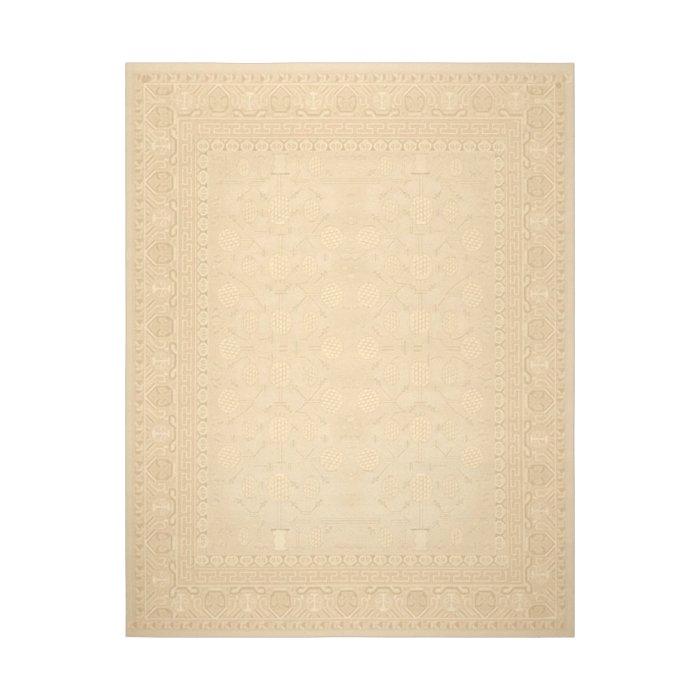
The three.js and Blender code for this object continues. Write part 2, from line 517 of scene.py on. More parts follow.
# The fret: one light line that makes a row of upright and hanging Ts
fret = {
    "levels": {  # outer, middle and inner run of the line
        "top": (123.9, 128.5, 133.1),
        "bottom": (581.2, 576.3, 572.0),
        "left": (182.4, 186.8, 191.0),
        "right": (518.7, 514.8, 510.7),
    },
    "places": {
        "top": {0: 203.9, 4: 284.2, 8: 367.3, 13: 472},
        "bottom": {0: 209.8, 4: 289.9, 9: 392.5, 13: 474.1},
        "left": {0: 145.1, 4: 233.2, 9: 342.2, 19: 560.6},
        "right": {0: 140.7, 5: 254.0, 10: 367.0, 18: 548.2},
    },
    "ends": {"top": (199, 506), "bottom": (196, 505), "left": (123, 580), "right": (121, 582)},
    "turns": ((0, 1), (0, 0), (0.78, 0), (0.78, 1), (0.5, 1), (0.5, 2), (1.28, 2), (1.28, 1)),
    "lead": 25,  # squares before a side's end at which its first unit can start
    "width": 1.0,
    "tone": 0.8,
}
for side, levels in fret["levels"].items():
    low, high = fret["ends"][side]
    starts = repeatStarts(fret["places"][side], low - fret["lead"], high)
    pitches = np.diff(starts + [2 * starts[-1] - starts[-2]])
    route = []
    for start, pitch in zip(starts, pitches):
        for along, level in fret["turns"]:
            place = min(max(start + along * pitch, low), high)
            if side in ("top", "bottom"):
                route.append((place, levels[level]))
            else:
                route.append((levels[level], place))
    for here, there in zip(route[:-1], route[1:]):
        if here != there:
            stroke("light", (here, there), fret["width"], fret["tone"])

# The guard borders: one unit of each. Strokes and filled shapes have squares along, and
# squares in from the guard's own level.
innerGuardUnit = {
    "strokes": (
        ("dark", 1.5, 0.85, ((-4.4, -3.9), (0, 0), (4.4, -3.9))),
        ("light", 1.1, 0.4, ((7.4, 0.8), (7.4, 4.8))),
    ),
    "middle": 7.4,  # of the scroll's medallion
    "mirrored": (  # on both sides of that
        ("dark", 1.0, 0.8, (
            (1.4, 5), (1.4, 2.2), (2.3, 1), (3.6, 1), (4.2, 2.1), (3.9, 3.5), (3.1, 3.9),
        )),
        ("light", 1.5, 1.0, ((1.2, -1.6), (4, -0.6), (5.5, 1.6), (5.4, 4), (4.2, 5.9), (2.6, 6.3))),
        ("light", 0.9, 0.45, ((2.7, 2.6), (2.8, 2.8))),
    ),
    "patches": (
        ("dark", 0.7, ((-0.6, 0), (0.6, 0), (1.3, 4.5), (-1.3, 4.5))),
        ("dark", 0.9, ((-1, 3.8), (1, 3.8), (3.5, 7), (-3.5, 7))),
        ("light", 0.6, ((-1.3, -3.7), (1.3, -3.7), (0.3, -1.9), (-0.3, -1.9))),
        ("light", 0.4, (
            (5.5, -3.6), (9.3, -3.6), (12.6, -0.8), (12.6, 0.2), (2.2, 0.2), (2.2, -0.8),
        )),
        ("peach", 0.4, (
            (3.6, -0.2), (11.2, -0.2), (12.2, 2.4), (11, 5.2), (9, 6.4), (5.8, 6.4), (3.8, 5.2),
            (2.6, 2.4),
        )),
        ("light", 0.8, ((7, 4.6), (7.8, 4.6), (9.6, 7), (5.2, 7))),
    ),
}
outerGuardUnit = {
    "strokes": (
        ("dark", 1.7, 0.6, ((5, 7.8), (6.4, 7.8))),
        ("dark", 1.6, 0.75, ((14.6, 0.5), (16, 0.5))),
        ("dark", 1.1, 0.6, ((14.7, 2.2), (14.7, 4))),
        ("light", 1.4, 0.4, ((0.9, 8.2), (2.6, 6.4), (3.9, 3.2), (4.2, 1.4))),
        ("light", 1.3, 0.3, ((7.6, 1.2), (7.4, 6.8))),
        ("light", 1.5, 0.75, ((10.7, 0.5), (13.7, 3.2))),
        ("light", 1.9, 0.6, ((17, 1.8), (17, 6), (15.8, 7.4), (12.8, 7.9))),
    ),
    "patches": (
        ("dark", 1.0, ((-0.7, 0.2), (1.2, 0.6), (2.8, 3.4), (1, 6.3), (-0.7, 7.2))),
        ("dark", 1.0, ((8.7, 0.3), (13.4, 5), (10.6, 8), (8.7, 8.6))),
    ),
}
guards = {
    "inner": {
        "unit": innerGuardUnit,
        "strength": 0.8,
        "unitLength": 14.8,
        "level": {"top": 143.6, "bottom": 562.3, "left": 200.8, "right": 501.2},
        "depth": {"top": 1.0, "bottom": 0.92, "left": 0.9, "right": 0.9},
        "places": {
            "top": {0: 210.3, 8: 328.4, 19: 492.0},
            "bottom": {0: 209.4, 9: 342.5, 19: 493.5},
            "left": {0: 169.5, 2: 201.5, 7: 277.1, 10: 326.2, 14: 387.7, 23: 533},
            "right": {0: 171.5, 4: 233.2, 10: 329.1, 13: 375.9, 18: 456.6, 23: 535.1},
        },
        "ends": {"top": (194, 500), "bottom": (194, 500), "left": (153, 545), "right": (155, 545)},
    },
    "outer": {
        "unit": outerGuardUnit,
        "strength": 0.7,
        "unitLength": 18.95,
        "level": {"top": 73.6, "bottom": 629.4, "left": 135.0, "right": 565.0},
        "depth": {"top": 1.0, "bottom": 0.93, "left": 0.92, "right": 0.9},
        "places": {
            "top": {0: 138.6, 3: 196.4, 8: 289, 21: 535.4},
            "bottom": {0: 144.9, 5: 239.2, 8: 294.9, 11: 352.2, 14: 410.8, 21: 543.4},
            "left": {0: 90.4, 4: 170.4, 8: 249.3, 12: 330.9, 19: 472.3, 25: 598.3},
            "right": {0: 82.6, 4: 162.1, 15: 378.7, 18: 440, 25: 577.2},
        },
        "ends": {"top": (136, 560), "bottom": (140, 568), "left": (84, 612), "right": (84, 612)},
        "backwards": ("bottom",),
        "turned": ("right",),  # the unit's two edges change places
        "unitDepth": 8.8,
    },
}
for guard in guards.values():
    for side, level in guard["level"].items():
        low, high = guard["ends"][side]
        starts = repeatStarts(guard["places"][side], low - 1, high)
        pitches = np.diff(starts + [2 * starts[-1] - starts[-2]])
        for start, pitch in zip(starts, pitches):
            stretch = pitch / guard["unitLength"]
            if side in guard.get("backwards", ()):
                stretch = -stretch

            def placed(points):
                deep = guard["depth"][side]
                if side in guard.get("turned", ()):
                    points = [(a, guard["unitDepth"] - d) for a, d in points]
                return [onSide(side, start, level, stretch, a, d * deep) for a, d in points]

            for wool, width, tone, points in guard["unit"]["strokes"]:
                stroke(wool, placed(points), width, tone * guard["strength"])
            for wool, width, tone, points in guard["unit"].get("mirrored", ()):
                for way in (1, -1):
                    both = placed([(guard["unit"]["middle"] + way * a, d) for a, d in points])
                    stroke(wool, both, width, tone * guard["strength"])
            for wool, tone, points in guard["unit"]["patches"]:
                patch(wool, placed(points), tone * guard["strength"])

cornerTufts = ((145, 79.5, 3.2, 4.2), (559.5, 85, 3, 3))  # x, y, half width, half height
tuftTone = 0.9
for x, y, halfX, halfY in cornerTufts:  # dark ones, where the outer guard turns the far corners
    blob("dark", (x, y), (halfX, halfY), tuftTone)
print("fret and guards charted")

# The field. It is charted as its near left quarter and drawn four times. The other quarters
# are a little longer or shorter, so these squares of the charted one are met with theirs.
fieldMirror = {
    "axis": 351,
    "columns": (0, 19.5, 40.3, 71.3, 101.6, 123, 142),
    "columnsRight": (0, 17.4, 40.1, 70.0, 99.7, 122, 143.5),
    "rows": (345, 373.8, 429.3, 486.3, 530, 552),
    "rowsFar": (352, 322.4, 266.6, 211.4, 173.3, 152.5),
}
trunkLink = ((276.5, 474.5), (283.5, 474.5))  # the light knots between two of them
trunks = ((280.6, 386, 402), (280.4, 442, 462), (279.4, 502, 529))  # x, top, foot
bigFruits = (  # x, y, half width, half height
    (280.7, 374.5, 10.2, 12.3),
    (279.5, 429.5, 10.6, 12.8),
    (279.4, 487.8, 10.8, 13.8),
)
sideFruits = (
    (250.5, 374, 6.6, 11),
    (310.3, 374.4, 7, 10.4),
    (249.6, 430, 6.8, 9.3),
    (309.5, 430, 7.2, 10),
    (249.8, 486.5, 7, 11.3),
    (311.4, 488, 7.8, 10.6),
    (244, 536.5, 6.3, 8.6),
    (316, 538, 7, 9.6),
)
roundFruits = (
    (228.6, 401, 10.6, 12),
    (331.6, 401, 10.8, 11.8),
    (228.8, 457, 10.8, 11),
    (331.7, 459, 11, 11),
)
middleFruits = ((229.5, 348, 10.8, 11), (332, 348, 10.8, 11))
leaves = (  # x, y and the way it leans: 1 up to the right, -1 down to the right, 0 upright
    (272, 357, 0), (296.5, 352, 0), (231, 366, 1), (325.5, 366, -1), (234, 383, -1),
    (323, 382, 1), (265, 388, 0), (295.5, 388, -1), (268.5, 409, 1), (288.5, 409, -1),
    (231.5, 421.5, 1), (323.5, 421, -1), (261.5, 427.5, 0), (295.5, 427, -1), (234, 438.5, 0),
    (325, 439, 0), (264, 444, 0), (293.5, 444, 0), (270, 467, 0), (232, 480.5, 1),
    (325.5, 480, -1), (262.2, 485, 0), (295, 484.5, -1), (240.5, 502, -1), (263.5, 504, 1),
    (294.5, 504.5, -1), (319, 503.5, 1), (228.5, 529, -1), (328.5, 531, 1), (226, 545, 0),
)
doubleLines = (
    ((240, 401.2), (253, 401.2)),
    ((306, 401.4), (320, 401.4)),
    ((240, 457.6), (253, 457.6)),
    ((306, 459.8), (320, 459.8)),
    ((222, 519.8), (243, 519.8)),
    ((250, 517.6), (259, 517.6)),
    ((249, 522.2), (262, 522.2)),
    ((296, 521.4), (309, 521.4)),
    ((322, 519.7), (351, 519.7)),
    ((322, 522.6), (351, 522.6)),
    ((259, 530), (259, 541)),
    ((297.5, 531), (297.5, 543)),
    ((263.5, 521.5), (271.5, 530)),
    ((291, 522.5), (299.5, 531.5)),
    ((251, 513.6), (258, 513.6)),
    ((301.5, 512.8), (309, 512.8)),
)
twigs = (
    ((264.5, 521.5), (260.5, 527)),
    ((298, 516), (292, 522)),
    ((246, 508), (251, 512.6)),
    ((258, 512), (262, 506)),
    ((296, 506.5), (301, 511.8)),
    ((309.5, 512), (313.5, 509.5), (317, 505)),
    ((243.5, 467.5), (234.5, 477.5)),
    ((254, 466), (266, 466)),
    ((247.5, 447.5), (254, 456)),
    ((254.5, 456), (262.5, 447)),
    ((296, 449.5), (304, 457.5)),
    ((307, 457.5), (314, 448.5)),
    ((325, 470.8), (331, 472), (337, 470.8)),
    ((276, 462.4), (286, 462.4)),
    ((274, 402.6), (287, 402.6)),
    ((275, 405.4), (286, 405.4)),
    ((255.5, 398.5), (262, 390)),
    ((299, 392), (306, 399.5)),
    ((309.5, 400), (321.5, 385.5)),
    ((253, 403.5), (245, 411.5), (236.5, 417.5)),
    ((306.5, 403), (300, 409), (295, 412)),
    ((296, 412), (306, 413), (311, 419)),
    ((314, 412.5), (321, 418.5)),
    ((234.5, 363), (241, 358.5), (248, 356.5)),
    ((258, 357), (267, 358), (270, 360)),
    ((318.5, 359), (324, 363)),
    ((299, 357.5), (305, 357), (310, 361.5)),
    ((249, 358), (250, 362.5)),
    ((245, 438.6), (253.5, 438.6)),
    ((246, 497.8), (252.5, 497.8)),
    ((247, 474.8), (250.5, 474.8)),
    ((308.5, 475.6), (313.5, 475.6)),
    ((275.5, 413), (275.5, 416)),
    ((280, 412.5), (280, 416)),
    ((284.5, 413), (284.5, 416)),
    ((272, 363.5), (272, 360)),
    ((288.6, 469), (288.6, 463)),
    ((290.8, 471), (290.8, 463)),
    ((312, 464), (322.5, 477)),
    ((216, 518), (222, 518.4)),
    ((218, 533.5), (222.5, 528.5)),
    ((279, 346.8), (287, 346.8)),
    ((279, 351.2), (287, 351.2)),
    ((240, 350), (254, 350)),
    ((308, 350), (320, 350)),
)
openGroundTone = 0.7
openGround = (  # the lighter, cooler patches between the branches
    ((256, 399), (262, 391.5), (277.5, 391), (277.5, 400.5), (267, 408.5), (258, 407)),
    ((284, 391.5), (298, 393), (305, 400.5), (300, 408), (291, 406.5), (284, 401)),
    ((240, 388), (255, 387), (257, 395), (248, 399), (240, 396)),
    ((236, 372), (240, 361), (242.6, 366), (242, 384), (239, 386), (236, 380)),
    ((258.5, 366), (267, 364), (269, 380), (262, 384), (258.5, 378)),
    ((292.5, 364), (300, 361), (302.6, 370), (302.4, 386), (299, 391), (292.5, 382)),
    ((318.5, 368), (322, 372), (327, 374), (329, 385), (325, 389), (319, 382)),
    ((318, 386), (321, 389), (319, 395), (311, 399), (309, 396), (314, 387)),
    ((237, 425), (241.5, 423), (242, 437), (239, 436)),
    ((257, 417), (266, 413), (268, 419), (263, 422), (257, 423)),
    ((257, 434), (261, 432.5), (267, 439), (259, 443), (252, 443), (254, 438)),
    ((291, 434), (299, 433), (302, 441), (299, 447), (292, 447), (289, 441)),
    ((316, 436), (320, 428), (328, 426), (333, 432), (333, 444), (327, 447), (320, 446)),
    ((240, 441), (252, 443), (261, 446), (255, 455), (246, 446)),
    ((258, 452), (264, 447), (276.5, 446), (276.5, 460), (266, 462), (256, 458)),
    ((285, 447), (295, 449), (303, 457), (298, 463), (286, 461)),
    ((307, 448), (316, 446), (321, 452), (318, 457), (309, 457)),
    ((224, 494), (231, 484.5), (239, 486), (241, 500), (240, 512), (232, 517), (225, 510)),
    ((256, 470), (265, 471), (267, 478), (263, 482), (257, 478)),
    ((290, 470), (300, 470), (303, 477), (297, 481), (291, 478)),
    ((319, 485), (328, 483), (336, 486), (336, 498), (330, 505), (324, 503), (321, 496)),
    ((321, 507), (330, 505), (336, 510), (332, 516), (318, 516), (316, 510)),
    ((259, 507), (266, 507), (276.5, 504), (276.5, 526), (270, 525), (264, 519), (258, 515)),
    ((283, 504), (290, 508), (299, 513), (296, 518), (289, 521), (283, 526)),
    ((288, 493), (293, 490), (303, 496), (309, 505), (304, 510), (299, 508), (292, 500)),
    ((249, 525), (261, 524), (261, 528), (257, 532), (257, 542), (251, 541), (250, 532)),
    ((285, 530), (290, 526), (296, 532), (295, 541), (288, 541)),
    ((301, 525), (313, 525), (309, 530), (308, 538), (301, 538), (300, 530)),
    ((222, 534), (229, 535), (237, 532), (237, 541), (228, 542), (222, 540)),
)
# Rosettes are ragged clusters of petals: at the field's sides they are cut by its edge, and
# down the middle line each quarter has half of one. x, y, half width, half height, tone.
petals = (
    (216, 364, 3.4, 3.2, 0.8), (221.5, 368, 2.2, 2, 0.7), (213.5, 369, 2.2, 1.8, 0.6),
    (216, 379.5, 5, 3.4, 0.9), (223.5, 377.6, 2.6, 1.4, 0.6), (215.5, 386.5, 2.6, 3.6, 0.75),
    (220, 383.5, 1.6, 2.4, 0.5), (214.5, 419.5, 3.2, 2.2, 0.7), (220.5, 422.5, 3.4, 3, 0.85),
    (213, 425, 2, 2.2, 0.5), (218.5, 434.5, 5.2, 2.6, 0.9), (216.5, 440, 3.4, 2.8, 0.8),
    (224.5, 437, 1.4, 1.4, 0.6), (219.5, 446, 1.6, 1.4, 0.6), (213.5, 474, 2.4, 2.6, 0.7),
    (216.5, 480.5, 3, 2.8, 0.85), (223.5, 481, 2.6, 1.8, 0.7), (216.2, 494.5, 3, 3, 0.8),
    (216.8, 500.5, 3, 4, 0.95), (213.5, 505.5, 1.8, 2, 0.6), (218, 520.5, 4.6, 2.2, 0.6),
    (216, 524.5, 2.4, 1.6, 0.5), (217, 545.5, 5.5, 4.6, 0.65), (211.5, 549, 3, 3, 0.5),
    (345.5, 387.5, 4.4, 3, 0.55), (337.5, 369.5, 3, 2.6, 0.35), (347.5, 416, 3, 1.6, 0.4),
    (346, 436.5, 7, 3.4, 0.6), (349.5, 424, 2, 2.2, 0.5), (347.5, 448, 3.4, 0.9, 0.6),
    (347, 474, 5, 3.4, 0.4), (336.5, 487, 1.5, 1.3, 0.6), (348, 495, 3, 1, 0.6),
    (348.5, 504.5, 2.6, 4, 0.5), (340.5, 530.5, 2.2, 1.2, 0.5), (343, 547.5, 10, 3.6, 0.55),
    (342, 544.6, 8, 0.8, 0.5), (297.5, 547.5, 7.6, 4, 0.5), (261, 547.5, 7.6, 4, 0.6),
)
petalGaps = (  # the light places between them: x, y, half width, half height, tone
    (214, 373, 1.6, 1.1, 0.4), (219.4, 372.6, 1.6, 1, 0.4), (214.4, 429.3, 1.5, 1.2, 0.45),
    (219.2, 430, 1.5, 1.2, 0.4), (219, 487, 2.6, 1.4, 0.3), (345, 428, 2.2, 1, 0.5),
    (349.5, 419.8, 1.4, 2, 0.5), (346, 441.6, 4, 0.7, 0.5), (345, 459, 1.2, 1, 0.5),
    (350, 457, 1.2, 1, 0.5), (350, 474, 1.1, 1, 0.6), (350, 479, 1.1, 1, 0.6),
)
warmPlaces = (  # soft brown shading: x, y, half width, half height, tone
    (352, 377, 17, 10, 0.5), (352, 427, 17, 14, 0.75), (352, 475, 12, 9, 0.6),
    (352, 502, 12, 10, 0.5), (340, 548, 18, 6, 0.5),
)
seeds = {
    "big": {"pitch": (4.6, 3.5), "cell": (1.9, 1.35), "upright": True, "power": 2.6},
    "side": {"pitch": (4.2, 3.1), "cell": (1.7, 1.2), "upright": True, "tone": 0.7},
    "round": {"pitch": (4.7, 3.5), "cell": (1.95, 1.35)},
}
fruitLean = 0.25  # how far the rows of seeds rise for each square along
sideFruitLean = -1.2  # times that
middleLean = 0.2


def fieldPlace(points, right, far):
    # The charted quarter's squares, in one of the four quarters
    points = np.array(points, float)
    x = points[..., 0]
    y = points[..., 1]
    if right:
        x = fieldMirror["axis"] + np.interp(
            fieldMirror["axis"] - x, fieldMirror["columns"], fieldMirror["columnsRight"],
        )
    if far:
        y = np.interp(y, fieldMirror["rows"], fieldMirror["rowsFar"])
    return np.stack([x, y], -1)


pens = {  # width and tone of each kind of line in the field
    "vaseOutline": (0.9, 0.35),
    "vaseRim": (1.8, 0.9),
    "vaseFoot": (1.0, 0.7),
    "leafBody": (2.4, 0.9),
    "leafRib": (0.9, 0.55),
    "twig": (1.1, 0.6),
    "trunkLink": (2.2, 0.9),
}
widths = {"trunk": 3.6, "branch": 3.0, "petalLine": 0.8}
vase = {
    "middle": 279.8,
    "power": 3,
    "bulges": (  # y, half width, half height
        (533, 6.2, 3), (537, 4.4, 3), (541, 6, 3), (545, 4.6, 3), (548.6, 5.8, 2),
    ),
    "outline": ((8.5, 530), (5, 536), (6.8, 540), (6.6, 543.5), (5.2, 546), (6.8, 549.5)),
    "rim": ((271.5, 276), (278, 282.5), (284.5, 289.5)),
    "rimLevel": 529.6,
    "foot": ((272, 550.4), (288, 550.4)),
    "tones": {"far": (0.28, 0.28), "near": (0.7, 0.5)},  # left and right
}
leafBlobs = {  # half width, half height, tone, power
    "body": (2.8, 2.6, 0.8, 1.6),
    "tooth": (0.8, 0.8, 0.8, 2.0),
    "fleck": (0.8, 0.7, 0.6, 2.0),
}
fleckShift = (-0.8, 0.9)  # from the leaf's middle, in shares of the tooth's
leafShapes = {  # squares from the leaf's middle
    "leaning": {  # up to the right
        "stem": ((-3.2, 2.8), (3.2, -2.8)),
        "teeth": ((-2.4, -0.8), (0.6, 2.2), (1.6, -3.4)),
    },
    "upright": {
        "stem": ((0, -3.2), (0, 3.2)),
        "teeth": ((-2.6, -1.4), (2.6, -1.4), (-2.4, 1.8), (2.4, 1.8)),
    },
}


def drawVase(place, tone):
    # A plain light vase with a dark outline
    middle = vase["middle"]
    for y, halfX, halfY in vase["bulges"]:
        blob("light", place((middle, y)), (halfX, halfY), tone, vase["power"])
    for side in (-1, 1):
        stroke("dark", place([(middle + side * x, y) for x, y in vase["outline"]]), *pens["vaseOutline"])
    for start, end in vase["rim"]:
        rimPart = ((start, vase["rimLevel"]), (end, vase["rimLevel"]))
        stroke("dark", place(rimPart), *pens["vaseRim"])
    stroke("dark", place(vase["foot"]), *pens["vaseFoot"])


def drawLeaf(place, x, y, leaning):
    # A serrated leaf: a stem line with teeth on both sides of it, and a light fleck by each
    shape = leafShapes["leaning" if leaning else "upright"]
    way = leaning or 1
    stem = place([(x + u, y + v * way) for u, v in shape["stem"]])
    stroke("leaf", stem, *pens["leafBody"])
    stroke("dark", stem, *pens["leafRib"])
    spots = [("leaf", "body", 0, 0)]
    for u, v in shape["teeth"]:
        spots.append(("dark", "tooth", u, v * way))
        spots.append(("light", "fleck", fleckShift[0] * u, fleckShift[1] * v * way))
    for wool, kind, u, v in spots:
        halfX, halfY, tone, power = leafBlobs[kind]
        blob(wool, place((x + u, y + v)), (halfX, halfY), tone, power)


petalShape = {
    "power": 1.7,
    "turns": (1.6, 3),  # of its zigzag, for each square of its half width, and besides
    "spread": 0.9,
    "swings": (-0.6, 0.7),
    "swell": (0.6, 0.4, 2.4),  # least, what is added, radians from turn to turn
    "lineShare": 0.8,
}


def drawPetal(place, x, y, halfX, halfY, tone):
    # A petal with the zigzag of darker knots inside it
    blob("rose", place((x, y)), (halfX, halfY), tone, petalShape["power"])
    perSquare, besides = petalShape["turns"]
    turns = np.arange(int(perSquare * halfX) + besides)
    across = x + halfX * petalShape["spread"] * (2 * turns / turns[-1] - 1)
    least, added, radians = petalShape["swell"]
    up, down = petalShape["swings"]
    swing = np.where(turns % 2, down, up) * (least + added * np.sin(radians * turns + x))
    zigzag = place(np.stack([across, y + halfY * swing], -1))
    stroke("dark", zigzag, widths["petalLine"], petalShape["lineShare"] * tone)


def drawQuarter(right, far):
    def place(points):
        return fieldPlace(points, right, far)

    lean = fruitLean if right == far else -fruitLean
    for points in openGround:
        patch("sage", place(points), openGroundTone)
    for x, y, halfX, halfY, tone in warmPlaces:
        blob("blush", place((x, y)), (halfX, halfY), tone)
    for petal in petals:
        drawPetal(place, *petal)
    for x, y, halfX, halfY, tone in petalGaps:
        blob("light", place((x, y)), (halfX, halfY), tone)
    for x, top, foot in trunks:
        doubleLine(place(((x, top), (x, foot))), widths["trunk"])
    for x, y, halfX, halfY in bigFruits:
        fruit(place((x, y)), (halfX, halfY), **seeds["big"], lean=lean)
    for x, y, halfX, halfY in sideFruits:
        fruit(place((x, y)), (halfX, halfY), **seeds["side"], lean=sideFruitLean * lean)
    for x, y, halfX, halfY in roundFruits:
        fruit(place((x, y)), (halfX, halfY), **seeds["round"], lean=lean)
    for x, y, leaning in leaves:
        drawLeaf(place, x, y, leaning)
    for points in doubleLines:
        doubleLine(place(points), widths["branch"])
    for points in twigs:
        stroke("dark", place(points), *pens["twig"])
    stroke("light", place(trunkLink), *pens["trunkLink"])
    drawVase(place, vase["tones"]["far" if far else "near"][right])


fieldShade = {
    "middle": (350.5, 352),  # of a rounded shape outside which the ground is warmer
    "half": (131, 193),
    "power": 5,
    "slope": 1.6,
    "nearLevel": 436,  # beyond it, toward the near end, the ground is a little greyer
    "nearLean": 0.08,
    "nearSlope": 7,
    "tones": {"blush": 0.7, "mist": 1.0},
}
fieldLow = np.array((205, 150))
fieldHigh = np.array((496, 554))


def fieldEdgeGap(x, y):
    gap = roundGap(x, y, fieldShade["middle"], fieldShade["half"], fieldShade["power"])
    return -gap / fieldShade["slope"]


def nearGap(x, y):
    level = fieldShade["nearLevel"] + fieldShade["nearLean"] * (chartMiddle[0] - x)
    return np.clip((level - y) / fieldShade["nearSlope"], -outside, outside)


mark("blush", fieldEdgeGap, fieldLow, fieldHigh, fieldShade["tones"]["blush"])
mark("mist", nearGap, fieldLow, fieldHigh, fieldShade["tones"]["mist"])
for right in (False, True):
    for far in (False, True):
        drawQuarter(right, far)
    for x, y, halfX, halfY in middleFruits:
        fruit(fieldPlace((x, y), right, False), (halfX, halfY), **seeds["round"], lean=middleLean)
print("field charted")

# A paler row of knots beside each dark line, and a darker one beside each light line
besideRows = {  # squares out to its middle, half its width, and its share of the line's tone
    "dark": (0.85, 0.35, 0.35),
    "light": (0.95, 0.4, 0.3),
    "clear": 0.5,  # squares that it stays away from other lines of its own wool
}
darkGap, darkTone = marks["dark"]
lightGap, lightTone = marks["light"]
out, halfWidth, palerShare = besideRows["dark"]
besideDark = np.abs(darkGap - out) - halfWidth
out, halfWidth, darkerShare = besideRows["light"]
besideLight = np.abs(lightGap - out) - halfWidth
paler = (besideDark < lightGap) & (lightGap > besideRows["clear"])
darker = (besideLight < darkGap) & (darkGap > besideRows["clear"])
palerTone = palerShare * darkTone[paler]
darkTone[darker] = darkerShare * lightTone[darker]
darkGap[darker] = besideLight[darker]
lightTone[paler] = palerTone
lightGap[paler] = besideDark[paler]


def linearColour(text):
    # An sRGB hex colour as the linear values that a shader takes
    values = [int(text[i:i + 2], 16) / 255 for i in (0, 2, 4)]
    return [v / 12.92 if v <= 0.04045 else ((v + 0.055) / 1.055) ** 2.4 for v in values] + [1.0]


def addNode(tree, kind, settings=None, inputs=None):
    # One node with its settings, and its inputs as values or as links from other nodes
    node = tree.nodes.new(kind)
    for name, value in (settings or {}).items():
        setattr(node, name, value)
    for place, value in (inputs or {}).items():
        if isinstance(value, bpy.types.NodeSocket):
            tree.links.new(value, node.inputs[place])
        else:
            node.inputs[place].default_value = value
    return node


def newMaterial(name):
    material = bpy.data.materials.new(name)
    material.use_nodes = True
    material.node_tree.nodes.clear()
    return material, material.node_tree


def attribute(tree, name):
    return addNode(tree, "ShaderNodeAttribute", {"attribute_name": name}).outputs["Fac"]


def compute(tree, operation, *values):
    # What a math node makes of its values, which are numbers or links from other nodes
    node = addNode(tree, "ShaderNodeMath", {"operation": operation}, dict(enumerate(values)))
    return node.outputs[0]


def computeVector(tree, operation, *values):
    node = addNode(tree, "ShaderNodeVectorMath", {"operation": operation}, dict(enumerate(values)))
    return node.outputs[0]


def shadedBy(tree, colour, factor):
    node = addNode(tree, "ShaderNodeVectorMath", {"operation": "SCALE"}, {0: colour, "Scale": factor})
    return node.outputs[0]


def blend(tree, share, first, second):
    # From the first colour at a share of 0 to the second at 1
    mixed = addNode(tree, "ShaderNodeMix", {"data_type": "RGBA"}, {0: share, 6: first, 7: second})
    return mixed.outputs[2]


def remap(tree, value, fromRange=(0, 1), toRange=(0, 1)):
    # A value's place in one range as a value of the other, not past its ends
    node = addNode(tree, "ShaderNodeMapRange", None, {
        0: value, 1: fromRange[0], 2: fromRange[1], 3: toRange[0], 4: toRange[1],
    })
    return node.outputs[0]


def noise(tree, place, size, detail, roughness=0.5, flat=True):
    # Soft patches about as wide as size, in metres, with finer ones in them
    return addNode(tree, "ShaderNodeTexNoise", {"noise_dimensions": "2D" if flat else "3D"}, {
        "Vector": place, "Scale": 1 / size, "Detail": detail, "Roughness": roughness,
    })


def relief(tree, height, metres, strength, invert=False):
    # Fine relief that only the light shows
    return addNode(tree, "ShaderNodeBump", {"invert": invert}, {
        "Height": height, "Distance": metres, "Strength": strength,
    })


waveRepeat = 0.314  # a wave texture of scale 1 repeats every 0.314 m


def threads(tree, place, way, pitch, distortion):
    # Waves that repeat once every pitch, in metres
    return addNode(tree, "ShaderNodeTexWave", {"bands_direction": way}, {
        "Vector": place, "Scale": waveRepeat / pitch, "Distortion": distortion, "Detail": 1.0,
    }).outputs["Fac"]


def finishCloth(tree, colour, bump, cloth):
    # The cloth's surface and the material's output
    shader = addNode(tree, "ShaderNodeBsdfPrincipled", None, {
        "Base Color": colour, "Normal": bump.outputs[0], **cloth["surface"],
    })
    addNode(tree, "ShaderNodeOutputMaterial", None, {"Surface": shader.outputs[0]})


rampSquares = 100  # squares in from the rug's edge that the ramp of the bands covers


def bandRamp(tree, colours, shift):
    # The ground colour of each band, and how unevenly its knots take the dye, as the alpha
    depth = compute(tree, "ADD", attribute(tree, "band"), shift)
    share = compute(tree, "DIVIDE", depth, rampSquares)
    ramp = addNode(tree, "ShaderNodeValToRGB", None, {0: share})
    ramp.color_ramp.interpolation = "CONSTANT"
    stops = ramp.color_ramp.elements
    stops[0].color = linearColour(colours[0][1])
    stops[1].color = linearColour(colours[-1][1])
    for name, text, unevenness in colours:
        stop = stops.new(bandDepth[name] / rampSquares)
        stop.color = linearColour(text)
        stop.alpha = unevenness
    stops[len(stops) - 1].alpha = colours[-1][2]
    return ramp


knotPitch = square / 2  # 2.7 mm from row to row
knotWidth = 1.6 * knotPitch  # 4.3 mm, as a knot's grain runs on into the next one along its row

